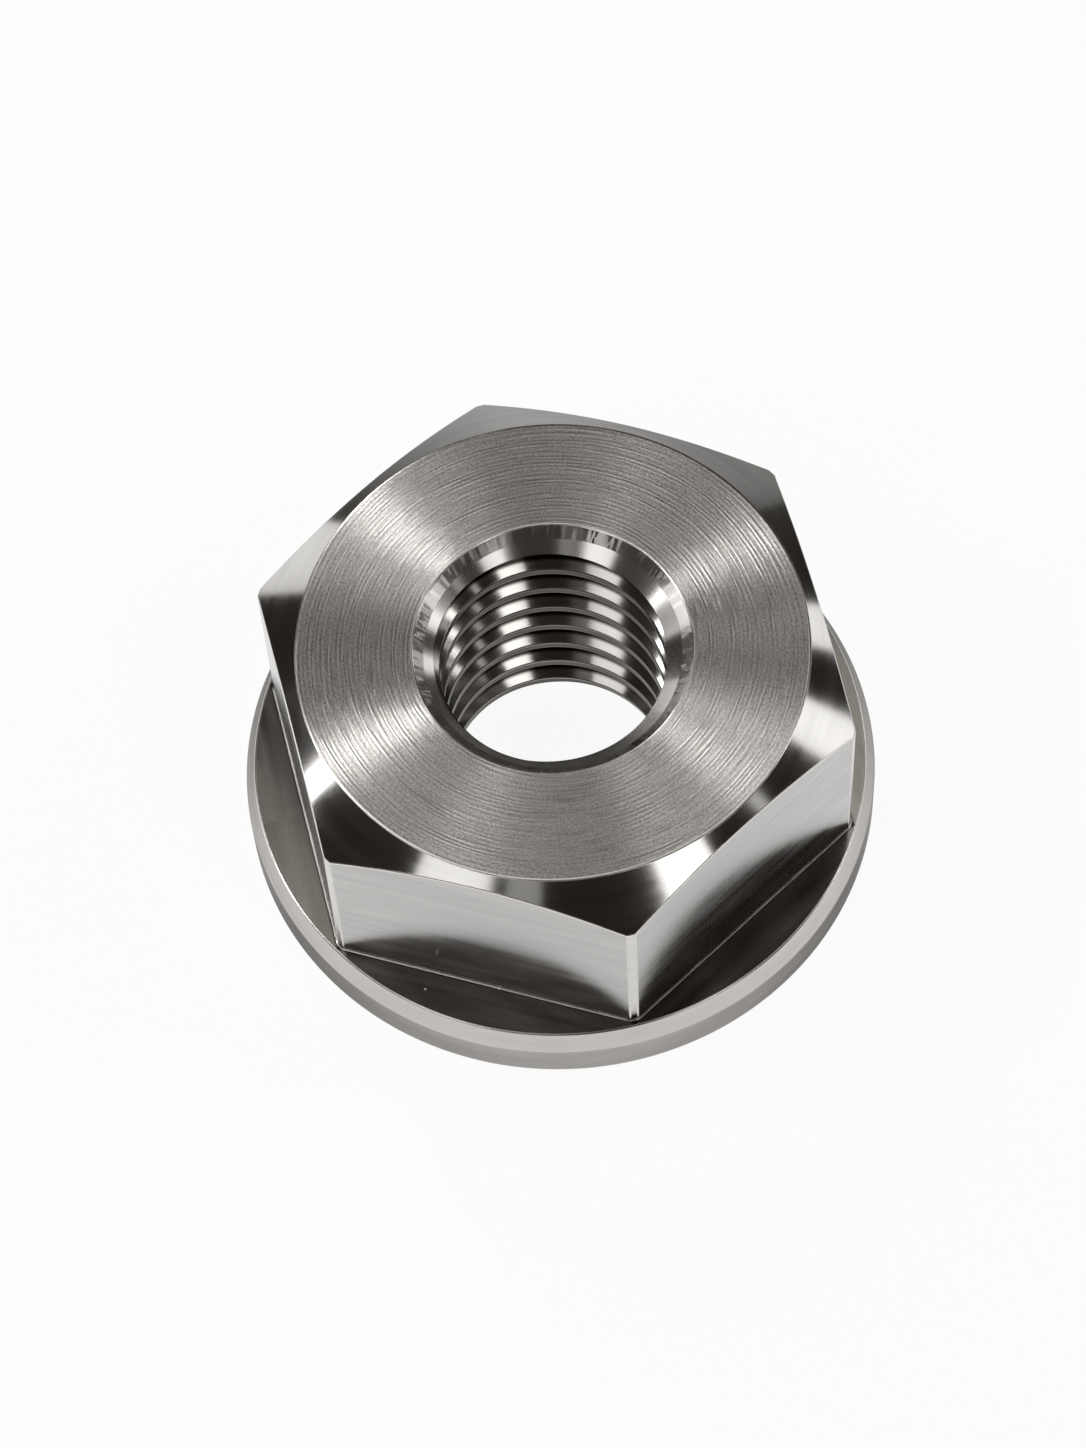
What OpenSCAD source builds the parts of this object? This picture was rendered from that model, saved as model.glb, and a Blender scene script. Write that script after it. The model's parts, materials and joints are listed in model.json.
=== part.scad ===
// Flange nut, turned and milled from one bar of stainless steel.
// A hexagon stands on a plain round flange, and a tapped hole runs down through both.
// The origin is the centre of the bearing face. +Z points up the hole, to the top face.

/* [Thread] */
// Nominal diameter of the metric thread
thread_d = 12; // [6:0.5:18]
// Pitch of the thread
thread_pitch = 1.75; // [0.75:0.25:2.5]
// How much wider than the thread the countersink in the top face is
top_mouth_extra = 0.45; // [0.1:0.05:2]
// Full angle of the countersink in the top face
top_mouth_angle = 90; // [60:5:130]
// How much wider than the thread the countersink in the bearing face is
bottom_mouth_extra = 0.2; // [0.1:0.05:2]
// Full angle of the countersink in the bearing face
bottom_mouth_angle = 120; // [80:5:140]

/* [Hexagon] */
// Height of the whole nut, from the bearing face to the top face
nut_h = 13.6; // [8:0.1:24]
// Width across the flats
across_flats = 24; // [22:0.5:36]
// How much of each sharp corner the turned bar leaves off, measured outwards
corner_trim = 0.105; // [0.02:0.005:0.6]
// Distance from the middle of a flat in to the edge of the round top face
top_face_inset = 0.65; // [0.1:0.05:1.5]
// Angle between the top face and the turned chamfer on the corners
chamfer_angle = 32; // [15:1:45]

/* [Flange] */
// Thickness of the flange
flange_h = 3.1; // [2:0.1:5]
// How far the flange stands out past the corners of the hexagon
flange_lip = 0.75; // [0.6:0.05:5]
// Width of the bevel round the top of the flange, seen from above
rim_bevel_w = 0.45; // [0.1:0.05:0.55]
// Height of the bevel round the top of the flange
rim_bevel_h = 0.9; // [0.2:0.05:1.6]
// Small break on the outer edge of the bearing face
edge_break = 0.2; // [0.05:0.05:0.35]

/* [Hidden] */
$fn = 180;

steel = "#aaa69f";

// Radius of the tapped hole at the thread's crests, by the ISO metric profile
thread_depth_ratio = 5 / 8 * cos(30);
crest_r = thread_d / 2 - thread_depth_ratio * thread_pitch;
top_mouth_r = (thread_d + top_mouth_extra) / 2;
bottom_mouth_r = (thread_d + bottom_mouth_extra) / 2;
top_mouth_h = (top_mouth_r - crest_r) / tan(top_mouth_angle / 2);
bottom_mouth_h = (bottom_mouth_r - crest_r) / tan(bottom_mouth_angle / 2);

// Radii of the hexagon at its sharp corners, at its turned corners and at the top face
sharp_corner_r = across_flats / 2 / cos(30);
corner_r = sharp_corner_r - corner_trim;
top_face_r = across_flats / 2 - top_face_inset;
chamfer_drop = (corner_r - top_face_r) * tan(chamfer_angle);

// Radii of the flange at its rim and at the top of its bevel
flange_r = corner_r + flange_lip;
flange_top_r = flange_r - rim_bevel_w;

// How far the hole's cutter runs past both faces
overrun = 1;

// Round flange with its bevelled rim
module flange() {
    rotate_extrude()
        polygon([
            [0, 0],
            [flange_r - edge_break, 0],
            [flange_r, edge_break],
            [flange_r, flange_h - rim_bevel_h],
            [flange_top_r, flange_h],
            [0, flange_h]
        ]);
}

// Turned blank: round corners, and the cone that rounds off the top of the hexagon
module turned_blank() {
    rotate_extrude()
        polygon([
            [0, flange_h / 2],
            [corner_r, flange_h / 2],
            [corner_r, nut_h - chamfer_drop],
            [top_face_r, nut_h],
            [0, nut_h]
        ]);
}

// Six milled flats on the turned blank, rooted inside the flange, with corners on the Y axis
module hexagon() {
    intersection() {
        turned_blank();
        rotate([0, 0, 30])
            cylinder(h = nut_h + overrun, r = sharp_corner_r, $fn = 6);
    }
}

// Hole at the thread's crests, with a countersink at each end
module tapped_hole() {
    rotate_extrude()
        polygon([
            [0, -overrun],
            [bottom_mouth_r, -overrun],
            [bottom_mouth_r, 0],
            [crest_r, bottom_mouth_h],
            [crest_r, nut_h - top_mouth_h],
            [top_mouth_r, nut_h],
            [top_mouth_r, nut_h + overrun],
            [0, nut_h + overrun]
        ]);
}

module flange_nut() {
    color(steel)
        difference() {
            union() {
                flange();
                hexagon();
            }
            tapped_hole();
        }
}

flange_nut();
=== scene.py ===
import json
import math
import bpy
import numpy as np
from mathutils import Matrix, Vector


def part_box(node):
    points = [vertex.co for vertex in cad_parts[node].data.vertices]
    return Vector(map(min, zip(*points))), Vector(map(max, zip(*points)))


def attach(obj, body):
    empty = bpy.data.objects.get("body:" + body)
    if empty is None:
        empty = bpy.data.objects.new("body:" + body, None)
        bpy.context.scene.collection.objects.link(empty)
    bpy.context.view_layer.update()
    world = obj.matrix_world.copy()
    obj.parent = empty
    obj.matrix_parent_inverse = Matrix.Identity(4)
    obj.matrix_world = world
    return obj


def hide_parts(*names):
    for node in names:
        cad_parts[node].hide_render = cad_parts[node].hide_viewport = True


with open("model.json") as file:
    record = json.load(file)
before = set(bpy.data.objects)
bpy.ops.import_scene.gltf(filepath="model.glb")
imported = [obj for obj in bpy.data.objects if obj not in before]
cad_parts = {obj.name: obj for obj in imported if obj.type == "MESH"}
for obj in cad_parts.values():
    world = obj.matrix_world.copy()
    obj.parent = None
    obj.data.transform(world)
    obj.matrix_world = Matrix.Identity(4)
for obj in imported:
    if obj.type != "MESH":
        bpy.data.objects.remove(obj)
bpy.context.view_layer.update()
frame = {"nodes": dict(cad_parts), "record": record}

mm = 0.001
scene = bpy.context.scene
print("frame loaded:", ", ".join(frame["nodes"]))

# Sizes of the nut in millimetres; the first three come from the frame
lowCorner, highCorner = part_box("flange_nut")
threadMount = next(m for m in frame["record"]["mounts"] if m["name"] == "thread")
nutSizes = {
    "height": round((highCorner[2] - lowCorner[2]) / mm, 2),
    "flangeRadius": round((highCorner[0] - lowCorner[0]) / mm / 2, 2),
    "crestRadius": threadMount["dims"]["r_mm"],
    "acrossFlats": 24.0,
    "cornerRadius": 13.751,       # what the turned bar leaves of the six sharp corners
    "topFaceRadius": 11.35,
    "topFaceFall": 3.0,           # how far the turned face seems to fall away towards its edge, in degrees
    "chamferAngle": 32.0,         # from the top face, in degrees
    "flangeHeight": 3.1,
    "rimBevelWidth": 0.45,
    "rimBevelHeight": 0.9,
    "edgeBreak": 0.2,
    "topMouthRadius": 6.2,
    "topMouthAngle": 90.0,        # of the narrow cone at the top face, from side to side
    "topStepRadius": 5.72,
    "topStepAngle": 104.0,        # of the wider cone below it, which runs down to the thread
    "bottomMouthRadius": 6.1,
    "bottomMouthAngle": 120.0,
    "pilotRadius": 4.6,           # hole before tapping, all of it cut away by the tap
    "edgeRound": 0.065,           # how far each machined edge is rounded over
    "roundedTurn": 12.0,          # an edge is rounded where its faces turn by more than this, in degrees
}
threadSizes = {
    "pitch": 1.75,
    "crestRound": 0.06,
    "rootRound": 0.1,
    "firstCrest": 0.1,            # height of the helix where it crosses the X axis, in pitches
    "fullDepthTo": 12.0,          # the groove runs out between this height
    "runsOutAt": 13.1,            # and this one, so that the countersink stays clean
    "tapPastFaces": 2.0,          # how far the tap runs out of both faces, in pitches
    "tapLead": 0.4,               # over what length the tap gets its depth near its low end, in pitches
    "spareTurns": 5,              # how many turns more than its length the tap's grid has
    "startBelow": 2,              # how many of them lie below its low end
    "columns": 360,
}
sideTurn = math.radians(60)       # from one flat of the hexagon to the next
# From the middle of a flat to its end, where the land of the turned corner begins
landTurn = math.acos(nutSizes["acrossFlats"] / 2 / nutSizes["cornerRadius"])
mergeDistance = 1e-7              # metres within which two points are one
leastThreadFaces = 5000           # far fewer than a thread that was cut has


# A Wire is an output socket that can be added, multiplied and so on, in any node tree
class Wire:
    def __init__(self, tree, socket):
        self.tree = tree
        self.socket = socket

    def math(self, operation, *others, clamp=False):
        return mathNode(self.tree, operation, self, *others, clamp=clamp)

    def __add__(self, other):
        return self.math("ADD", other)

    def __sub__(self, other):
        return self.math("SUBTRACT", other)

    def __rsub__(self, other):
        return mathNode(self.tree, "SUBTRACT", other, self)

    def __mul__(self, other):
        return self.math("MULTIPLY", other)

    def __truediv__(self, other):
        return self.math("DIVIDE", other)

    def __neg__(self):
        return self.math("MULTIPLY", -1.0)


def plug(tree, value, socket):
    if isinstance(value, Wire):
        tree.links.new(value.socket, socket)
    elif value is not None:
        socket.default_value = value


def mathNode(tree, operation, *values, clamp=False):
    node = tree.nodes.new("ShaderNodeMath")
    node.operation = operation
    node.use_clamp = clamp
    for value, socket in zip(values, node.inputs):
        plug(tree, value, socket)
    return Wire(tree, node.outputs[0])


def addNode(tree, kind, inputs=None, **settings):
    node = tree.nodes.new(kind)
    for name, value in settings.items():
        setattr(node, name, value)
    for name, value in (inputs or {}).items():
        plug(tree, value, node.inputs[name])
    return node


def out(node, name=0):
    return Wire(node.id_data, node.outputs[name])


# Geometry trees: each gets named inputs, and a modifier sets them by the socket's identifier
def newGeometryTree(name, inputs):
    tree = bpy.data.node_groups.new(name, "GeometryNodeTree")
    for label, value in inputs.items():
        kind = "NodeSocketInt" if isinstance(value, int) else "NodeSocketFloat"
        tree.interface.new_socket(label, in_out="INPUT", socket_type=kind).default_value = value
    tree.interface.new_socket("Geometry", in_out="OUTPUT", socket_type="NodeSocketGeometry")
    groupIn = tree.nodes.new("NodeGroupInput")
    given = {label: Wire(tree, groupIn.outputs[label]) for label in inputs}
    return tree, given


# Keeps named selections of faces as fields that still hold after points are merged
def markFaces(tree, geometry, selections):
    marked = addNode(tree, "GeometryNodeCaptureAttribute", domain="FACE")
    for name in selections:
        marked.capture_items.new("BOOLEAN", name)
    plug(tree, geometry, marked.inputs["Geometry"])
    for name, selection in selections.items():
        plug(tree, selection, marked.inputs[name])
    return out(marked), [out(marked, name) for name in selections]


# Every tree ends in Realize Instances, and then one Set Material for each part of the surface
def endGeometryTree(tree, geometry, parts):
    merged = addNode(tree, "GeometryNodeMergeByDistance", {"Geometry": geometry, "Distance": mergeDistance})
    result = out(addNode(tree, "GeometryNodeRealizeInstances", {"Geometry": out(merged)}))
    for selection, material in parts:
        result = out(addNode(tree, "GeometryNodeSetMaterial", {
            "Geometry": result, "Selection": selection, "Material": material}))
    groupOut = tree.nodes.new("NodeGroupOutput")
    tree.links.new(result.socket, groupOut.inputs[0])


def meshFromTree(name, tree, values):
    start = bpy.data.objects.new(name, bpy.data.meshes.new(name))
    scene.collection.objects.link(start)
    modifier = start.modifiers.new(name, "NODES")
    modifier.node_group = tree
    for item in tree.interface.items_tree:
        if item.in_out == "INPUT":
            modifier[item.identifier] = values[item.name]
    return bakedMesh(start)


def bakedMesh(piece):
    graph = bpy.context.evaluated_depsgraph_get()
    graph.update()
    mesh = bpy.data.meshes.new_from_object(
        piece.evaluated_get(graph), preserve_all_data_layers=True, depsgraph=graph)
    piece.modifiers.clear()
    piece.data = mesh
    return piece


def gridIndex(tree, rows):
    index = out(addNode(tree, "GeometryNodeInputIndex"))
    column = (index / rows).math("FLOOR")
    return column, index - column * rows


# Sets every point of a grid from its radius, angle and height
def placeRound(tree, grid, radius, angle, height):
    position = addNode(tree, "ShaderNodeCombineXYZ", {
        "X": radius * angle.math("COSINE"), "Y": radius * angle.math("SINE"), "Z": height})
    placed = addNode(tree, "GeometryNodeSetPosition", {"Geometry": grid, "Position": out(position)})
    return out(placed)


def blankInputs():
    s = nutSizes
    return {
        "Columns in half a flat": 28,
        "Height": s["height"] * mm,
        "Half across flats": s["acrossFlats"] / 2 * mm,
        "Corner radius": s["cornerRadius"] * mm,
        "Top face radius": s["topFaceRadius"] * mm,
        "Chamfer slope": math.tan(math.radians(s["chamferAngle"])),
        "Flange radius": s["flangeRadius"] * mm,
        "Flange height": s["flangeHeight"] * mm,
        "Rim bevel width": s["rimBevelWidth"] * mm,
        "Rim bevel height": s["rimBevelHeight"] * mm,
        "Edge break": s["edgeBreak"] * mm,
        "Top mouth radius": s["topMouthRadius"] * mm,
        "Top mouth slope": 1 / math.tan(math.radians(s["topMouthAngle"] / 2)),
        "Top step radius": s["topStepRadius"] * mm,
        "Top step slope": 1 / math.tan(math.radians(s["topStepAngle"] / 2)),
        "Bottom mouth radius": s["bottomMouthRadius"] * mm,
        "Bottom mouth slope": 1 / math.tan(math.radians(s["bottomMouthAngle"] / 2)),
        "Pilot radius": s["pilotRadius"] * mm,
    }


# The blank: bands of one row each, between rings that follow the turned or the milled outline
def blankTree(inputs, materials):
    tree, given = newGeometryTree("nutBlank", inputs)
    half = given["Columns in half a flat"]
    perFlat = half * 2 + 2
    columns = perFlat * 6
    column, row = gridIndex(tree, 2)
    # Angle from the middle of each flat, with one column each side kept for the corner's land
    flat = (column / perFlat).math("FLOOR")
    step = column - flat * perFlat - half - 1
    inner = step.math("MAXIMUM", -half).math("MINIMUM", half)
    landAngle = (given["Half across flats"] / given["Corner radius"]).math("ARCCOSINE")
    fromMiddle = inner / half * landAngle + (step - inner) * (sideTurn / 2 - landAngle)
    angle = flat * sideTurn + fromMiddle
    sharpRadius = given["Half across flats"] / fromMiddle.math("COSINE")
    hexRadius = sharpRadius.math("MINIMUM", given["Corner radius"])
    height = given["Height"]
    flangeTop = given["Flange height"]
    pilot = given["Pilot radius"]
    chamferHeight = height - (hexRadius - given["Top face radius"]) * given["Chamfer slope"]
    stepHeight = height - (given["Top mouth radius"] - given["Top step radius"]) * given["Top mouth slope"]
    # Each ring, and the finish of the band from it to the next one
    rings = [
        (pilot, (given["Bottom mouth radius"] - pilot) * given["Bottom mouth slope"], "countersink"),
        (given["Bottom mouth radius"], 0.0, "bearingFace"),
        (given["Flange radius"] - given["Edge break"], 0.0, "rim"),
        (given["Flange radius"], given["Edge break"], "rim"),
        (given["Flange radius"], flangeTop - given["Rim bevel height"], "rim"),
        (given["Flange radius"] - given["Rim bevel width"], flangeTop, "flangeTop"),
        (hexRadius, flangeTop, "flats"),
        (hexRadius, chamferHeight, "chamfer"),
        (given["Top face radius"], height, "topFace"),
        (given["Top mouth radius"], height, "countersink"),
        (given["Top step radius"], stepHeight, "countersink"),
        (pilot, stepHeight - (given["Top step radius"] - pilot) * given["Top step slope"], "thread"),
    ]
    joined = tree.nodes.new("GeometryNodeJoinGeometry")
    parts = []
    for number, (startRadius, startHeight, finish) in enumerate(rings):
        endRadius, endHeight = rings[(number + 1) % len(rings)][:2]
        grid = addNode(tree, "GeometryNodeMeshGrid", {"Vertices X": columns + 1, "Vertices Y": 2})
        band = placeRound(tree, out(grid), row * (endRadius - startRadius) + startRadius, angle,
                          row * (endHeight - startHeight) + startHeight)
        band, marks = markFaces(tree, band, {finish: True})
        tree.links.new(band.socket, joined.inputs[0])
        parts.append((marks[0], materials[finish]))
    endGeometryTree(tree, out(joined), parts)
    return tree


# One pitch of the ISO metric thread as (along, depth) points in millimetres, with rounded corners
def threadForm():
    pitch = threadSizes["pitch"]
    depth = 5 / 8 * math.cos(math.radians(30)) * pitch
    corners = [(0.0, 0.0), (pitch / 4, 0.0), (pitch * 9 / 16, depth), (pitch * 11 / 16, depth),
               (pitch, 0.0)]
    form = [(pitch / 8, 0.0)]
    for number in range(1, 5):
        before = Vector(corners[number - 1])
        corner = Vector(corners[number])
        after = Vector(corners[number + 1]) if number < 4 else Vector((pitch * 5 / 4, 0.0))
        reach = threadSizes["rootRound"] if corner.y > 0 else threadSizes["crestRound"]
        enter = corner + (before - corner).normalized() * reach
        leave = corner + (after - corner).normalized() * reach
        for share in (0.0, 0.5, 1.0):
            point = enter * (1 - share) ** 2 + corner * 2 * share * (1 - share) + leave * share ** 2
            form.append(tuple(point))
    return form


def tapInputs():
    pitch = threadSizes["pitch"]
    pastFaces = threadSizes["tapPastFaces"] * pitch
    return {
        "Columns": threadSizes["columns"],
        "Pitch": pitch * mm,
        "Crest radius": nutSizes["crestRadius"] * mm,
        "First crest": threadSizes["firstCrest"] * pitch * mm,
        "Low end": -pastFaces * mm,
        "High end": (nutSizes["height"] + pastFaces) * mm,
        "Lead": threadSizes["tapLead"] * pitch * mm,
        "Full depth to": threadSizes["fullDepthTo"] * mm,
        "Runs out at": threadSizes["runsOutAt"] * mm,
    }


# The tap: a helical surface between two plain ends, whose grid lines follow the thread
def tapTree(inputs, materials):
    tree, given = newGeometryTree("tap", inputs)
    form = threadForm()
    tapLength = given["High end"] - given["Low end"]
    turns = (tapLength / given["Pitch"]).math("CEIL") + threadSizes["spareTurns"]
    rows = turns * len(form)
    column, row = gridIndex(tree, rows)
    turn = (row / len(form)).math("FLOOR")
    place = row - turn * len(form)
    along = addNode(tree, "GeometryNodeIndexSwitch", data_type="FLOAT")
    depth = addNode(tree, "GeometryNodeIndexSwitch", data_type="FLOAT")
    for switch, axis in ((along, 0), (depth, 1)):
        for extra in range(len(form) - 2):
            switch.index_switch_items.new()
        for number, point in enumerate(form):
            switch.inputs[number + 1].default_value = point[axis] * mm
        plug(tree, place, switch.inputs["Index"])
    angle = column / given["Columns"] * math.tau
    startTurn = (given["Low end"] / given["Pitch"]).math("FLOOR") - threadSizes["startBelow"]
    free = (turn + startTurn + angle / math.tau) * given["Pitch"] + out(along) + given["First crest"]
    height = free.math("MAXIMUM", given["Low end"]).math("MINIMUM", given["High end"])
    runOut = given["Runs out at"] - given["Full depth to"]
    inside = ((free - given["Low end"]) / given["Lead"]).math("SUBTRACT", 0.5, clamp=True) \
        * ((given["Runs out at"] - free) / runOut).math("MAXIMUM", 0.0).math("MINIMUM", 1.0)
    # The first and last rows close the ends at the axis; whole numbers are compared to within a half
    isEnd = row.math("COMPARE", 0.0, 0.5) + row.math("COMPARE", rows - 1, 0.5)
    radius = (given["Crest radius"] + out(depth) * inside) * (1 - isEnd)
    grid = addNode(tree, "GeometryNodeMeshGrid", {"Vertices X": given["Columns"] + 1, "Vertices Y": rows})
    surface = placeRound(tree, out(grid), radius, angle, height)
    # The crest is the first and the last face of each turn of the form, and its upper edge the second
    # and the third
    face = out(addNode(tree, "GeometryNodeInputIndex"))
    placeOfFace = (face - (face / (rows - 1)).math("FLOOR") * (rows - 1)).math("FLOORED_MODULO", len(form))
    isCrest = placeOfFace.math("COMPARE", 0.0, 0.5) + placeOfFace.math("COMPARE", len(form) - 1, 0.5)
    isEdge = placeOfFace.math("COMPARE", 1.5, 0.7)
    surface, marks = markFaces(tree, surface, {"Crest": isCrest, "Upper edge": isEdge})
    endGeometryTree(tree, surface, [(True, materials["thread"]), (marks[0], materials["threadCrest"]),
                                    (marks[1], materials["threadEdge"])])
    return tree


def useMaterials(mesh, order, materials):
    slots = [material.name if material else "" for material in mesh.materials]
    index = np.array([order.index(name) if name in order else 0 for name in slots], dtype=np.int32)
    old = np.zeros(len(mesh.polygons), dtype=np.int32)
    mesh.polygons.foreach_get("material_index", old)
    mesh.materials.clear()
    for name in order:
        mesh.materials.append(materials[name])
    mesh.polygons.foreach_set("material_index", index[old])


# Rounds the machined edges, cuts the thread, and lays the exact normals and the map
def makeNut(materials):
    order = list(materials)
    nut = meshFromTree("flangeNut", blankTree(blankInputs(), materials), blankInputs())
    useMaterials(nut.data, order, materials)
    tap = meshFromTree("tap", tapTree(tapInputs(), materials), tapInputs())
    useMaterials(tap.data, order, materials)
    for mesh in (nut.data, tap.data):
        mesh.shade_smooth()
    print("blank and tap made:", len(nut.data.polygons), "and", len(tap.data.polygons), "faces")
    edges = nut.modifiers.new("Round the machined edges", "BEVEL")
    edges.width = nutSizes["edgeRound"] * mm
    edges.segments = 2
    edges.angle_limit = math.radians(nutSizes["roundedTurn"])
    edges.material = order.index("edges")
    cut = nut.modifiers.new("Cut the thread", "BOOLEAN")
    cut.operation = "DIFFERENCE"
    cut.solver = "MANIFOLD"
    cut.object = tap
    bakedMesh(nut)
    bpy.data.objects.remove(tap)
    threadFaces = sum(face.material_index == order.index("thread") for face in nut.data.polygons)
    if threadFaces < leastThreadFaces:
        raise RuntimeError("the thread was not cut: only %d faces of it" % threadFaces)
    layNormals(nut.data, order)
    dullEdges(nut.data, order)
    layMarks(nut.data, order)
    print("flange nut made:", sum(len(p.vertices) - 2 for p in nut.data.polygons), "triangles")
    return nut


# What each corner of the mesh belongs to: its point, its face's middle and its face's finish
def cornerFacts(mesh):
    points = np.zeros(len(mesh.vertices) * 3)
    mesh.vertices.foreach_get("co", points)
    centers = np.zeros(len(mesh.polygons) * 3)
    mesh.polygons.foreach_get("center", centers)
    facing = np.zeros(len(mesh.polygons) * 3)
    mesh.polygons.foreach_get("normal", facing)
    counts = np.zeros(len(mesh.polygons), dtype=np.int32)
    mesh.polygons.foreach_get("loop_total", counts)
    finish = np.zeros(len(mesh.polygons), dtype=np.int32)
    mesh.polygons.foreach_get("material_index", finish)
    vertex = np.zeros(len(mesh.loops), dtype=np.int32)
    mesh.loops.foreach_get("vertex_index", vertex)
    return {
        "vertex": vertex,
        "point": points.reshape(-1, 3)[vertex] / mm,
        "center": np.repeat(centers.reshape(-1, 3) / mm, counts, axis=0),
        "facing": np.repeat(facing.reshape(-1, 3), counts, axis=0),
        "finish": np.repeat(finish, counts),
    }


# Exact normals: each turned or milled surface shades as the true cone, cylinder or plane
def layNormals(mesh, order):
    s = nutSizes
    facts = cornerFacts(mesh)
    x, y, z = facts["point"].T
    centerTurn = np.arctan2(facts["center"][:, 1], facts["center"][:, 0])
    centerHeight = facts["center"][:, 2]
    centerRadius = np.hypot(facts["center"][:, 0], facts["center"][:, 1])
    around = np.arctan2(y, x)
    tilt = np.zeros(len(x))               # angle of the normal above the horizontal, in degrees
    outwards = np.ones(len(x))            # 1 away from the axis, -1 towards it

    def tiltCorners(name, angle, way=1, where=True):
        chosen = (facts["finish"] == order.index(name)) & where
        tilt[chosen] = angle
        outwards[chosen] = way

    tiltCorners("bearingFace", -90)
    tiltCorners("topFace", 90 - s["topFaceFall"])
    tiltCorners("flangeTop", 90)
    tiltCorners("chamfer", 90 - s["chamferAngle"])
    tiltCorners("rim", -45, 1, centerHeight < s["edgeBreak"])    # the break is as high as it is wide
    rimTilt = math.degrees(math.atan2(s["rimBevelWidth"], s["rimBevelHeight"]))
    tiltCorners("rim", rimTilt, 1, centerHeight > s["flangeHeight"] - s["rimBevelHeight"])
    tiltCorners("countersink", s["topMouthAngle"] / 2, -1, centerHeight > s["height"] / 2)
    belowStep = (centerHeight > s["height"] / 2) & (centerRadius < s["topStepRadius"])
    tiltCorners("countersink", s["topStepAngle"] / 2, -1, belowStep)
    tiltCorners("countersink", -s["bottomMouthAngle"] / 2, -1, centerHeight < s["height"] / 2)
    side = np.round(centerTurn / sideTurn) * sideTurn
    milled = (facts["finish"] == order.index("flats")) & (abs(centerTurn - side) < landTurn)
    heading = np.where(milled, side, around)
    tilt = np.radians(tilt)
    normals = np.column_stack([outwards * np.cos(tilt) * np.cos(heading),
                               outwards * np.cos(tilt) * np.sin(heading), np.sin(tilt)])
    cut = np.isin(facts["finish"], [order.index(name) for name in ("thread", "threadCrest", "threadEdge")])
    normals[cut] = threadNormals(facts["point"][cut], facts["center"][cut])
    # Rounded edges run from one neighbour's normal to the other's
    rounded = facts["finish"] == order.index("edges")
    total = np.zeros((len(mesh.vertices), 3))
    np.add.at(total, facts["vertex"][~rounded], normals[~rounded])
    between = np.zeros((len(mesh.vertices), 3))
    np.add.at(between, facts["vertex"][rounded], facts["facing"][rounded])
    nothing = 1e-6                        # shorter than any sum of normals
    alone = np.linalg.norm(total, axis=1) < nothing
    total[alone] = between[alone]
    normals[rounded] = total[facts["vertex"]][rounded]
    normals /= np.linalg.norm(normals, axis=1)[:, None]
    mesh.shade_smooth()
    mesh.normals_split_custom_set(normals.tolist())


# The edges of the rim's bevel are as dull as the rim, and the six turned corners have their own finish
def dullEdges(mesh, order):
    s = nutSizes
    close = 0.2                           # millimetres within which a face belongs to the rim or a corner
    lowest = s["flangeHeight"] + 0.1      # a corner's finish runs from this height
    highest = s["height"] - 1.6           # to this one, below the chamfer
    justInside = 0.01                     # radians by which a corner's finish reaches past its land
    for face in mesh.polygons:
        x, y, z = face.center / mm
        radius = math.hypot(x, y)
        fromMiddle = abs((math.atan2(y, x) + sideTurn / 2) % sideTurn - sideTurn / 2)
        isEdge = face.material_index == order.index("edges")
        atCorner = radius > s["cornerRadius"] - close and fromMiddle > landTurn - justInside
        if isEdge and radius > s["flangeRadius"] - close and z > s["flangeHeight"] / 2:
            face.material_index = order.index("rim")
        elif atCorner and lowest < z < highest:
            face.material_index = order.index("corners")


# Normals of the tapped surface, from where each point lies along the thread form
def threadNormals(points, centers):
    pitch = threadSizes["pitch"]
    form = np.array(threadForm() + [(threadForm()[0][0] + pitch, 0.0)])
    along = np.diff(form[:, 0])
    deeper = np.diff(form[:, 1])
    faceTilt = np.arctan2(deeper, along)          # above the horizontal on the side that faces up
    widths = np.hypot(along, deeper)
    # A wide facet keeps its own direction up to its ends, and the rounds turn between them
    before = np.roll(faceTilt, 1)
    widthBefore = np.roll(widths, 1)
    atPoint = (before * widthBefore ** 3 + faceTilt * widths ** 3) / (widthBefore ** 3 + widths ** 3)
    atPoint = np.append(atPoint, atPoint[0])

    def phase(place):
        turned = np.arctan2(place[:, 1], place[:, 0]) / math.tau
        return place[:, 2] / pitch - threadSizes["firstCrest"] - turned

    start = form[0, 0] / pitch
    centerPhase = (phase(centers) - start) % 1.0 + start
    facet = np.clip(np.searchsorted(form[:, 0] / pitch, centerPhase, side="right") - 1, 0, len(along) - 1)
    ownPhase = centerPhase + (phase(points) - phase(centers) + 0.5) % 1.0 - 0.5
    share = np.clip((ownPhase * pitch - form[facet, 0]) / along[facet], 0, 1)
    tilt = atPoint[facet] * (1 - share) + atPoint[facet + 1] * share
    around = np.arctan2(points[:, 1], points[:, 0])
    lead = pitch / math.tau / np.hypot(points[:, 0], points[:, 1])
    # Inwards and up the slope, leaned back along the helix
    rise = np.sin(tilt)
    return np.column_stack([-np.cos(tilt) * np.cos(around) + rise * lead * np.sin(around),
                            -np.cos(tilt) * np.sin(around) - rise * lead * np.cos(around), rise])


# Where a turned surface lies on the map: the radius in millimetres at which U is true to scale, and
# the slope of the surface from the horizontal in degrees
turnedMap = {
    "countersink": (5.6, 45.0), "bearingFace": (10.0, 0.0), "rim": (14.5, 75.0), "edges": (12.0, 45.0),
    "chamfer": (12.5, nutSizes["chamferAngle"]), "topFace": (9.0, 0.0), "corners": (13.7, 90.0),
    "thread": (5.5, 90.0), "threadCrest": (5.05, 90.0), "threadEdge": (5.1, 90.0),
}
flatSpacing = 40    # millimetres between the flats on the map


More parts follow.
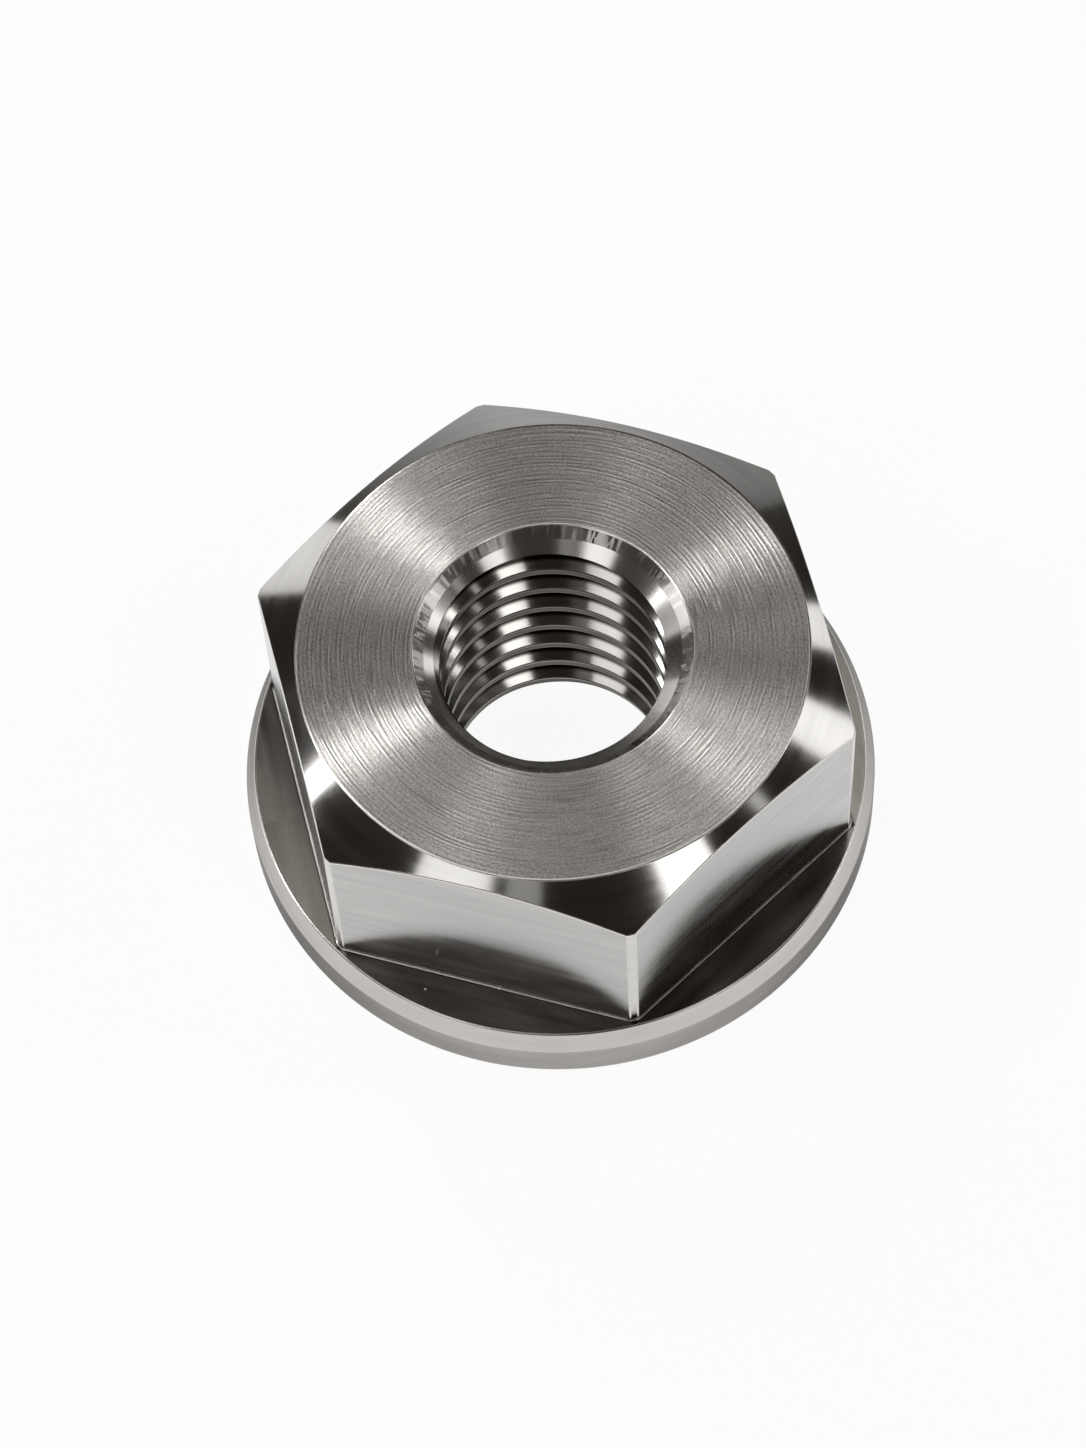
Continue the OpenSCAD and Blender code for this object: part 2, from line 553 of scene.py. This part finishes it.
# The map follows the machining: U along the tool's marks and V across them, both in millimetres
def layMarks(mesh, order):
    facts = cornerFacts(mesh)
    finish = facts["finish"]
    x, y, z = facts["point"].T
    radius = np.hypot(x, y)
    middle = np.arctan2(facts["center"][:, 1], facts["center"][:, 0])
    turn = middle + (np.arctan2(y, x) - middle + np.pi) % (2 * np.pi) - np.pi
    u = np.zeros(len(x))
    v = np.zeros(len(x))
    # Turned surfaces: U round the axis, V down the slope of the surface
    for name, (trueRadius, slope) in turnedMap.items():
        chosen = finish == order.index(name)
        tilt = math.radians(slope)
        u[chosen] = turn[chosen] * trueRadius
        v[chosen] = (radius * math.cos(tilt) - z * math.sin(tilt))[chosen]
    # Milled surfaces: U along each flat, with the six flats set apart on the map
    side = np.round(middle / sideTurn)
    along = -x * np.sin(side * sideTurn) + y * np.cos(side * sideTurn) + side * flatSpacing
    outwards = x * np.cos(side * sideTurn) + y * np.sin(side * sideTurn)
    for name, across in (("flats", z), ("flangeTop", outwards)):
        chosen = finish == order.index(name)
        u[chosen] = along[chosen]
        v[chosen] = across[chosen]
    layer = mesh.uv_layers.new(name="marks")
    layer.data.foreach_set("uv", np.column_stack([u, v]).ravel())


# Shader groups put out only heights, tones and masks that vary over the surface
def newGroup(name, inputs, outputs):
    tree = bpy.data.node_groups.new(name, "ShaderNodeTree")
    for label, value in inputs.items():
        socket = tree.interface.new_socket(label, in_out="INPUT", socket_type="NodeSocketFloat")
        socket.default_value = value
    for label in outputs:
        tree.interface.new_socket(label, in_out="OUTPUT", socket_type="NodeSocketFloat")
    groupIn = tree.nodes.new("NodeGroupInput")
    groupOut = tree.nodes.new("NodeGroupOutput")
    return tree, {label: Wire(tree, groupIn.outputs[label]) for label in inputs}, groupOut


def marksMap(tree):
    uv = addNode(tree, "ShaderNodeUVMap", uv_map="marks")
    split = addNode(tree, "ShaderNodeSeparateXYZ", {"Vector": out(uv)})
    return out(split, "X"), out(split, "Y")


def noiseAt(tree, x, y, z, detail=2.0, roughness=0.5):
    place = addNode(tree, "ShaderNodeCombineXYZ", {"X": x, "Y": y, "Z": z})
    noise = addNode(tree, "ShaderNodeTexNoise", {
        "Vector": out(place), "Scale": 1.0, "Detail": detail, "Roughness": roughness})
    return out(noise, "Fac")


# Fine straight lines along U, a few coarser ones among them, patches of chatter, slow changes of tone
def toolMarksGroup():
    tree, given, groupOut = newGroup("toolMarks", {
        "Lines per mm": 12.0, "Line length": 3.0, "Seed": 0.0, "Chatter": 0.0}, ["Height", "Tone"])
    u, v = marksMap(tree)
    length = given["Line length"]
    lines = given["Lines per mm"]
    seed = given["Seed"]
    coarseAlong, coarseAcross = 0.4, 0.27      # how dense the coarse lines are, next to the fine ones
    slowAlong, slowAcross = 0.25, 0.9          # changes of tone per millimetre, as in the next two lines
    patchAlong, patchAcross = 0.13, 0.12
    chatterAlong, chatterAcross = 3.4, 0.3
    patchFrom, patchRise = 0.46, 9.0           # from which level there is chatter, and how soon all of it
    fineShare, coarseShare = 0.6, 0.4
    # Each noise has a seed of its own, so that no two of them follow each other
    fine = noiseAt(tree, u / length, v * lines, seed, 3.0, 0.6)
    coarse = noiseAt(tree, u / length * coarseAlong, v * lines * coarseAcross, seed + 7.3, 2.0)
    slow = noiseAt(tree, u * slowAlong, v * slowAcross, seed + 3.1, 2.0)
    patches = noiseAt(tree, u * patchAlong, v * patchAcross, seed + 25.0) - patchFrom
    waves = noiseAt(tree, u * chatterAlong, v * chatterAcross, seed + 20.0, 1.0) - 0.5
    chatter = waves * patches.math("MULTIPLY", patchRise, clamp=True) * given["Chatter"]
    lineHeight = fine * fineShare + coarse * coarseShare
    tree.links.new((lineHeight + chatter).socket, groupOut.inputs["Height"])
    tree.links.new((coarse * 0.5 + slow * 0.5).socket, groupOut.inputs["Tone"])
    return tree


# Rings left by the lathe's feed, each a little different from the next
def feedRingsGroup():
    tree, given, groupOut = newGroup("feedRings", {"Feed": 0.15, "Seed": 0.0}, ["Height", "Tone"])
    u, v = marksMap(tree)
    seed = given["Seed"]
    ringAt = v / given["Feed"]
    wander = 2.8                               # how many rings' width a ring may lie out of its place
    strongFrom, strongRise = 0.42, 4.5         # from which level a ring shows, and how soon in full
    weakest = 0.15
    scratchHeight = 0.5                        # next to a height of 1 for the rings
    ringTone, scratchTone, grainTone = 0.25, 0.5, 0.9
    drift = noiseAt(tree, u * 0.12, v * 0.9, seed, 3.0)
    wave = ((ringAt + drift * wander) * math.tau).math("COSINE") * 0.5 + 0.5
    uneven = noiseAt(tree, u * 0.22, ringAt * 0.7, seed + 5.0, 3.0, 0.6)
    strength = ((uneven - strongFrom) * strongRise).math("MAXIMUM", weakest).math("MINIMUM", 1.0)
    scratch = noiseAt(tree, u * 0.8, ringAt * 2.2, seed + 9.0, 3.0, 0.6)
    grain = noiseAt(tree, u * 9.0, ringAt * 2.4, seed + 12.0, 2.0, 0.6)
    tree.links.new((wave * strength + scratch * scratchHeight).socket, groupOut.inputs["Height"])
    marks = (wave - 0.5) * strength * ringTone + (scratch - 0.5) * scratchTone
    tone = marks + (grain - 0.5) * grainTone + 0.5
    tree.links.new(tone.socket, groupOut.inputs["Tone"])
    return tree


# Mask of the painted shade deep in the groove of the thread: 0 near the crest, 1 towards the root
def paintedGrooveShadeGroup():
    tree, given, groupOut = newGroup("paintedGrooveShade", {"Shallow radius": 5.36, "Deep radius": 5.53}, ["Mask"])
    place = addNode(tree, "ShaderNodeTexCoord")
    flat = addNode(tree, "ShaderNodeVectorMath", operation="MULTIPLY")
    tree.links.new(place.outputs["Object"], flat.inputs[0])
    flat.inputs[1].default_value = (1, 1, 0)
    radius = addNode(tree, "ShaderNodeVectorMath", operation="LENGTH")
    tree.links.new(flat.outputs[0], radius.inputs[0])
    depth = addNode(tree, "ShaderNodeMapRange", {
        "Value": out(radius, "Value") / mm, "From Min": given["Shallow radius"],
        "From Max": given["Deep radius"]}, interpolation_type="SMOOTHSTEP")
    tree.links.new(depth.outputs[0], groupOut.inputs["Mask"])
    return tree


# The painted shade line in the crease at the foot of the flats, where V is the distance from the axis along
# the flat's normal
def paintedCreaseShadeGroup():
    tree, given, groupOut = newGroup("paintedCreaseShade", {"Starts at": 12.05, "Width": 0.12}, ["Mask"])
    across = marksMap(tree)[1]
    fade = addNode(tree, "ShaderNodeMapRange", {
        "Value": across, "From Min": given["Starts at"] + given["Width"], "From Max": given["Starts at"]},
        interpolation_type="SMOOTHSTEP")
    tree.links.new(fade.outputs[0], groupOut.inputs["Mask"])
    return tree


# A few small nicks, one in some of the cells that the map is divided into
def nicksGroup():
    tree, given, groupOut = newGroup("nicks", {
        "Cells per mm": 0.8, "Share": 0.1, "Size": 0.07, "Seed": 0.0}, ["Mask"])
    u, v = marksMap(tree)
    stretched = 0.7                            # a cell is longer along U, and so is its nick
    ragged = 0.1                               # how far a nick's outline strays, next to its cell
    core = 0.5                                 # share of a nick's size over which it has its full depth
    uneven = noiseAt(tree, u * 9.0, v * 9.0, given["Seed"]) * ragged
    place = addNode(tree, "ShaderNodeCombineXYZ", {
        "X": u * given["Cells per mm"] * stretched + given["Seed"] + uneven,
        "Y": v * given["Cells per mm"] + uneven})
    cells = addNode(tree, "ShaderNodeTexVoronoi", {
        "Vector": out(place), "Scale": 1.0}, voronoi_dimensions="2D")
    chance = addNode(tree, "ShaderNodeSeparateColor")
    tree.links.new(cells.outputs["Color"], chance.inputs[0])
    spot = addNode(tree, "ShaderNodeMapRange", {
        "Value": out(cells, "Distance"), "From Min": given["Size"], "From Max": given["Size"] * core})
    mask = out(spot) * out(chance, "Red").math("LESS_THAN", given["Share"])
    tree.links.new(mask.socket, groupOut.inputs["Mask"])
    return tree


groups = {"toolMarks": toolMarksGroup(), "feedRings": feedRingsGroup(), "paintedGrooveShade": paintedGrooveShadeGroup(),
          "paintedCreaseShade": paintedCreaseShadeGroup(), "nicks": nicksGroup()}

# For each finish its dark and its light tone, its least and most roughness, how far it stretches what
# it mirrors across the marks, their depth in millimetres, the group that makes them, and its values
finishes = {
    "edges": {
        "dark": (0.66, 0.643, 0.62), "light": (0.86, 0.838, 0.81), "rough": (0.2, 0.3), "stretch": 0.2,
        "depth": 0.0012, "marks": "toolMarks",
        "values": {"Lines per mm": 8.0, "Line length": 1.5, "Seed": 1.0},
    },
    "corners": {
        "dark": (0.57, 0.556, 0.538), "light": (0.64, 0.625, 0.605), "rough": (0.12, 0.18), "stretch": 0.3,
        "depth": 0.0006, "marks": "toolMarks",
        "values": {"Lines per mm": 7.0, "Line length": 3.0, "Seed": 1.5},
    },
    "countersink": {
        "dark": (0.62, 0.604, 0.58), "light": (0.84, 0.82, 0.79), "rough": (0.2, 0.26), "stretch": 0.9,
        "depth": 0.0015, "marks": "toolMarks",
        "values": {"Lines per mm": 7.0, "Line length": 8.0, "Seed": 2.0},
    },
    "bearingFace": {
        "dark": (0.39, 0.379, 0.364), "light": (0.465, 0.453, 0.436), "rough": (0.3, 0.4), "stretch": 0.7,
        "depth": 0.006, "marks": "feedRings",
        "values": {"Feed": 0.2, "Seed": 3.0},
    },
    "rim": {
        "dark": (0.53, 0.51, 0.486), "light": (0.61, 0.588, 0.562), "rough": (0.18, 0.24), "stretch": 0.5,
        "depth": 0.001, "marks": "toolMarks",
        "values": {"Lines per mm": 10.0, "Line length": 8.0, "Seed": 4.0},
        "grazing": (0.3, 0.3, 0.3),                          # its tint where it is seen at a grazing angle
    },
    "flangeTop": {
        "dark": (0.25, 0.234, 0.211), "light": (0.38, 0.359, 0.33), "rough": (0.12, 0.18), "stretch": 0.6,
        "depth": 0.0012, "marks": "toolMarks",
        "values": {"Lines per mm": 7.0, "Line length": 6.0, "Seed": 5.0},
        # painted shade: tone of the line in the crease at the foot of the flats
        "paintedCreaseShade": (0.02, 0.017, 0.014),                        # tone of the line at the foot of the flats
        "nicks": {"Cells per mm": 0.9, "Share": 0.07, "Size": 0.045, "Seed": 7.0},
    },
    "flats": {
        "dark": (0.42, 0.411, 0.4), "light": (0.5, 0.49, 0.477), "rough": (0.11, 0.17), "stretch": 0.5,
        "depth": 0.0007, "marks": "toolMarks",
        "values": {"Lines per mm": 7.0, "Line length": 5.0, "Seed": 6.0, "Chatter": 3.0},
    },
    "chamfer": {
        "dark": (0.42, 0.411, 0.4), "light": (0.51, 0.5, 0.487), "rough": (0.11, 0.15), "stretch": 0.7,
        "depth": 0.0008, "marks": "toolMarks",
        "values": {"Lines per mm": 8.0, "Line length": 10.0, "Seed": 7.0},
    },
    "topFace": {
        "dark": (0.46, 0.444, 0.424), "light": (0.88, 0.854, 0.82), "rough": (0.32, 0.37), "stretch": 1.0,
        "depth": 0.02, "marks": "feedRings",
        "values": {"Feed": 0.2, "Seed": 8.0},
    },
    "thread": {
        "dark": (0.38, 0.366, 0.346), "light": (0.5, 0.483, 0.459), "rough": (0.1, 0.16), "stretch": 0.4,
        "depth": 0.0006, "marks": "toolMarks",
        "values": {"Lines per mm": 9.0, "Line length": 8.0, "Seed": 9.0},
        # painted shade: the tone that darkens the groove towards its root
        "paintedGrooveShade": (0.02, 0.016, 0.013),                      # tone of the groove near its root
    },
    # The crest's very dark tones are painted shade, for the dark bore wall it mirrors; its roughness and
    # marks are its own
    "threadCrest": {
        "dark": (0.08, 0.07, 0.06), "light": (0.15, 0.135, 0.116), "rough": (0.25, 0.4), "stretch": 0.3,
        "depth": 0.002, "marks": "toolMarks",
        "values": {"Lines per mm": 5.0, "Line length": 2.0, "Seed": 10.0},
    },
    "threadEdge": {
        "dark": (0.3, 0.28, 0.255), "light": (0.52, 0.495, 0.46), "rough": (0.15, 0.25), "stretch": 0.2,
        "depth": 0.0006, "marks": "toolMarks",
        "values": {"Lines per mm": 8.0, "Line length": 3.0, "Seed": 11.0},
    },
}
toneRange = (0.35, 0.65)       # what of a group's tone runs from the dark to the light tone
acrossMarks = 0.25             # a quarter turn, so that what is mirrored spreads across the marks
nickLook = {"tone": (0.95, 0.94, 0.92), "rougher": 0.2, "deeper": 5.0}    # deeper next to the tool marks


# Mixes another colour in where the group's mask says so, and gives the mask back as well
def mixedTone(tree, group, values, color, wanted):
    node = addNode(tree, "ShaderNodeGroup", node_tree=group)
    for label, value in values.items():
        node.inputs[label].default_value = value
    mixed = addNode(tree, "ShaderNodeMix", data_type="RGBA")
    tree.links.new(node.outputs["Mask"], mixed.inputs[0])
    tree.links.new(color.outputs[2], mixed.inputs[6])
    mixed.inputs[7].default_value = (*wanted, 1)
    return mixed, out(node, "Mask")


def machinedMetal(name):
    finish = finishes[name]
    material = bpy.data.materials.new(name)
    material.use_nodes = True
    tree = material.node_tree
    shader = tree.nodes["Principled BSDF"]
    marks = addNode(tree, "ShaderNodeGroup", node_tree=groups[finish["marks"]])
    for label, value in finish["values"].items():
        marks.inputs[label].default_value = value
    spread = addNode(tree, "ShaderNodeMapRange", {
        "Value": out(marks, "Tone"), "From Min": toneRange[0], "From Max": toneRange[1]})
    color = addNode(tree, "ShaderNodeMix", data_type="RGBA")
    plug(tree, out(spread), color.inputs[0])
    color.inputs[6].default_value = (*finish["dark"], 1)
    color.inputs[7].default_value = (*finish["light"], 1)
    # Painted shade: darkens the thread's groove towards its root and the crease at the foot of the flats
    for shadeName in ("paintedGrooveShade", "paintedCreaseShade"):
        if shadeName in finish:
            color = mixedTone(tree, groups[shadeName], {}, color, finish[shadeName])[0]
    low, high = finish["rough"]
    rough = out(spread) * (high - low) + low
    height = out(marks, "Height")
    if "nicks" in finish:
        color, nicks = mixedTone(tree, groups["nicks"], finish["nicks"], color, nickLook["tone"])
        rough = rough + nicks * nickLook["rougher"]
        height = height - nicks * nickLook["deeper"]
    tree.links.new(color.outputs[2], shader.inputs["Base Color"])
    plug(tree, rough, shader.inputs["Roughness"])
    bump = addNode(tree, "ShaderNodeBump", {"Height": height, "Strength": 1.0,
                                            "Distance": finish["depth"] * mm})
    plug(tree, out(bump), shader.inputs["Normal"])
    along = addNode(tree, "ShaderNodeTangent", direction_type="UV_MAP", uv_map="marks")
    plug(tree, out(along), shader.inputs["Tangent"])
    shader.inputs["Metallic"].default_value = 1.0
    shader.inputs["Specular Tint"].default_value = (*finish.get("grazing", (1.0, 1.0, 1.0)), 1)
    shader.inputs["Anisotropic"].default_value = finish["stretch"]
    shader.inputs["Anisotropic Rotation"].default_value = acrossMarks
    return material


metals = {name: machinedMetal(name) for name in finishes}
print("finishes made:", ", ".join(metals))
nut = makeNut(metals)
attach(nut, "root")
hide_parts("flange_nut")

# The camera stands where the photograph was taken from, looking down at the front corner
view = {
    "turn": -10.38,        # degrees round the nut, so that the front corner lies right of centre
    "elevation": 62.86,
    "roll": -4.09,
    "distance": 219.5,     # millimetres from the middle of the bearing face, along the line of sight
    "aimRight": -0.66,     # and how far the camera stands to the right of that line
    "aimUp": 2.84,         # and above it
    "lens": 117.15,
    "nearest": 0.01,       # metres, as in the next line
    "farthest": 20.0,
}


def makeCamera():
    tilt = math.radians(view["elevation"])
    back = Vector((0, -math.cos(tilt), math.sin(tilt)))
    right = Vector((1, 0, 0))
    up = back.cross(right)
    place = (back * view["distance"] + right * view["aimRight"] + up * view["aimUp"]) * mm
    roll = math.radians(view["roll"])
    pictureRight = right * math.cos(roll) + up * math.sin(roll)
    pictureUp = up * math.cos(roll) - right * math.sin(roll)
    turned = Matrix.Rotation(math.radians(view["turn"]), 4, "Z")
    axes = Matrix((pictureRight, pictureUp, back)).transposed().to_4x4()
    camera = bpy.data.objects.new("camera", bpy.data.cameras.new("camera"))
    camera.matrix_world = turned @ Matrix.Translation(place) @ axes
    camera.data.lens = view["lens"]
    camera.data.clip_start = view["nearest"]
    camera.data.clip_end = view["farthest"]
    scene.collection.objects.link(camera)
    scene.camera = camera


makeCamera()
print("camera placed")


# The floor's glow and colour paint a pool of light, white near the nut and falling off gently, and the
# floor keeps a soft shadow
floorLook = {
    "radius": 1.6,           # metres
    "corners": 64,
    "below": 0.02,           # millimetres under the bearing face, so that the two don't share one plane
    "white": 0.985,          # its tone near the nut
    "ownLight": 1.05,
    "far": 0.32,             # what it falls to, out of the main picture
    "fadeFrom": 0.07,        # metres from the middle of the floor
    "fadeTo": 0.3,
    "shadowShare": 0.1,      # how much of the floor's look comes from the light that falls on it
    # painted shadow in the floor's glow, seen only in the metal's reflections
    "underFlange": 0.78,     # how bright the metal shows the floor right beside the flange, 1 is elsewhere
    "shadeWidth": 0.002,     # metres over which that shade fades out
}


def paleFloor():
    material = bpy.data.materials.new("paleFloor")
    material.use_nodes = True
    tree = material.node_tree
    tree.nodes.clear()
    place = addNode(tree, "ShaderNodeTexCoord")
    distance = addNode(tree, "ShaderNodeVectorMath", operation="LENGTH")
    tree.links.new(place.outputs["Object"], distance.inputs[0])
    # Painted pool of light: white near the nut, falling to a darker tone further out
    level = addNode(tree, "ShaderNodeMapRange", {
        "Value": out(distance, "Value"), "From Min": floorLook["fadeFrom"], "From Max": floorLook["fadeTo"],
        "To Min": floorLook["white"], "To Max": floorLook["far"]}, interpolation_type="SMOOTHSTEP")
    lit = addNode(tree, "ShaderNodeBsdfDiffuse", {"Color": out(level)})
    rays = addNode(tree, "ShaderNodeLightPath")
    # Painted shadow: where the metal mirrors it, the floor's glow is darker right beside the flange
    flangeRadius = nutSizes["flangeRadius"] * mm
    beside = addNode(tree, "ShaderNodeMapRange", {
        "Value": out(distance, "Value"), "From Min": flangeRadius, "To Min": floorLook["underFlange"],
        "From Max": flangeRadius + floorLook["shadeWidth"], "To Max": 1.0}, interpolation_type="SMOOTHSTEP")
    shade = 1 - (1 - out(beside)) * out(rays, "Is Glossy Ray")
    own = addNode(tree, "ShaderNodeEmission", {
        "Color": out(level), "Strength": shade * floorLook["ownLight"]})
    seen = out(rays, "Is Camera Ray").math("MAXIMUM", out(rays, "Is Glossy Ray"))
    seen = seen.math("MAXIMUM", out(rays, "Is Transmission Ray"))
    mixed = addNode(tree, "ShaderNodeMixShader", {"Fac": seen * (1 - floorLook["shadowShare"])})
    tree.links.new(lit.outputs[0], mixed.inputs[1])
    tree.links.new(own.outputs[0], mixed.inputs[2])
    # From below the floor can be looked through, so that the bearing face is seen
    behind = addNode(tree, "ShaderNodeNewGeometry")
    sided = addNode(tree, "ShaderNodeMixShader", {"Fac": out(behind, "Backfacing")})
    clear = addNode(tree, "ShaderNodeBsdfTransparent")
    tree.links.new(mixed.outputs[0], sided.inputs[1])
    tree.links.new(clear.outputs[0], sided.inputs[2])
    result = addNode(tree, "ShaderNodeOutputMaterial")
    tree.links.new(sided.outputs[0], result.inputs["Surface"])
    return material


def makeFloor():
    mesh = bpy.data.meshes.new("floor")
    corners = floorLook["corners"]
    radius = floorLook["radius"]
    height = -floorLook["below"] * mm
    turns = [math.tau * number / corners for number in range(corners)]
    ring = [(radius * math.cos(turn), radius * math.sin(turn), height) for turn in turns]
    mesh.from_pydata(ring, [], [range(corners)])
    mesh.materials.append(paleFloor())
    floor = bpy.data.objects.new("floor", mesh)
    scene.collection.objects.link(floor)


# Soft boxes round the nut. Azimuth and elevation say where each one is, width and height how large it
# looks from the nut, turn how far it leans (all in degrees), and brightness how white it looks (1 is
# white)
lamps = {
    "backStrip": {"azimuth": 156.5, "elevation": 48, "width": 6, "height": 36, "turn": 33,
                  "brightness": 8.0},
    "backRight": {"azimuth": 101, "elevation": 36, "width": 3.3, "height": 26, "turn": 12,
                  "brightness": 10.5},
    "backLow": {"azimuth": 117.5, "elevation": 8, "width": 14, "height": 12, "brightness": 1.45},
    "backWide": {"azimuth": 65, "elevation": 3, "width": 40, "height": 8, "brightness": 0.33},
    "leftFoot": {"azimuth": 160, "elevation": 9, "width": 26, "height": 18, "brightness": 1.8},
    "frontRight": {"azimuth": 301.5, "elevation": 49.5, "width": 13, "height": 18, "brightness": 2.7},
    "frontFoot": {"azimuth": 291, "elevation": 24, "width": 13, "height": 12, "brightness": 0.5},
    "frontLeft": {"azimuth": 218, "elevation": 46, "width": 17, "height": 26, "brightness": 1.75},
    "frontDim": {"azimuth": 243, "elevation": 50, "width": 8, "height": 14, "brightness": 0.5},
    "rightNarrow": {"azimuth": 331.5, "elevation": 40, "width": 3, "height": 20, "brightness": 1.0},
    "rightBox": {"azimuth": 357, "elevation": 28, "width": 10, "height": 18, "brightness": 2.0},
    "rightLean": {"azimuth": 358, "elevation": 47, "width": 5, "height": 14, "turn": -20,
                  "brightness": 4.2},
    "rightFoot": {"azimuth": 341, "elevation": 13, "width": 16, "height": 10, "brightness": 2.2},
    "rightLow": {"azimuth": 20, "elevation": 18.5, "width": 9, "height": 20, "brightness": 1.7},
    "overhead": {"azimuth": 100, "elevation": 78, "width": 54, "height": 28, "brightness": 0.8,
                 "color": (1.0, 0.985, 0.955)},
}
lampDistance = 0.8    # metres from the nut


def placeLamp(name):
    wanted = lamps[name]
    azimuth = math.radians(wanted["azimuth"])
    elevation = math.radians(wanted["elevation"])
    level = math.cos(elevation)
    outwards = Vector((level * math.cos(azimuth), level * math.sin(azimuth), math.sin(elevation)))
    light = bpy.data.lights.new(name, "AREA")
    light.shape = "RECTANGLE"
    light.size = 2 * lampDistance * math.tan(math.radians(wanted["width"] / 2))
    light.size_y = 2 * lampDistance * math.tan(math.radians(wanted["height"] / 2))
    light.energy = wanted["brightness"] * math.pi * light.size * light.size_y
    light.color = wanted.get("color", (1.0, 1.0, 1.0))
    lamp = bpy.data.objects.new(name, light)
    facing = (-outwards).to_track_quat("-Z", "Y").to_matrix().to_4x4()
    lean = Matrix.Rotation(math.radians(wanted.get("turn", 0)), 4, "Z")
    lamp.matrix_world = Matrix.Translation(outwards * lampDistance) @ facing @ lean
    scene.collection.objects.link(lamp)


# The room: a horizon under a darker ceiling, and pale light from under the floor
roomLook = {
    "horizon": (0.07, 0.066, 0.06),
    "ceiling": (0.03, 0.025, 0.021),
    "ceilingFrom": 0.2,                # sine of the elevation from which the ceiling has its full tone
    "underFloor": (0.5, 0.49, 0.475),
    "underFloorFrom": -0.02,           # sine of the elevation at which the light from below begins
    "underFloorFull": -0.2,
}


def makeRoom():
    world = bpy.data.worlds.new("studioRoom")
    scene.world = world
    world.use_nodes = True
    tree = world.node_tree
    place = addNode(tree, "ShaderNodeTexCoord")
    split = addNode(tree, "ShaderNodeSeparateXYZ")
    tree.links.new(place.outputs["Generated"], split.inputs[0])
    above = addNode(tree, "ShaderNodeMapRange", {
        "Value": out(split, "Z"), "From Min": 0.0, "From Max": roomLook["ceilingFrom"]},
        interpolation_type="SMOOTHSTEP")
    shade = addNode(tree, "ShaderNodeMix", data_type="RGBA")
    plug(tree, out(above), shade.inputs[0])
    shade.inputs[6].default_value = (*roomLook["horizon"], 1)
    shade.inputs[7].default_value = (*roomLook["ceiling"], 1)
    below = addNode(tree, "ShaderNodeMapRange", {
        "Value": out(split, "Z"), "From Min": roomLook["underFloorFrom"],
        "From Max": roomLook["underFloorFull"]}, interpolation_type="SMOOTHSTEP")
    both = addNode(tree, "ShaderNodeMix", data_type="RGBA")
    plug(tree, out(below), both.inputs[0])
    tree.links.new(shade.outputs[2], both.inputs[6])
    both.inputs[7].default_value = (*roomLook["underFloor"], 1)
    tree.links.new(both.outputs[2], tree.nodes["Background"].inputs["Color"])


makeFloor()
makeRoom()
for name in lamps:
    placeLamp(name)
print("floor, room and", len(lamps), "lamps placed")
scene.view_settings.view_transform = "Standard"
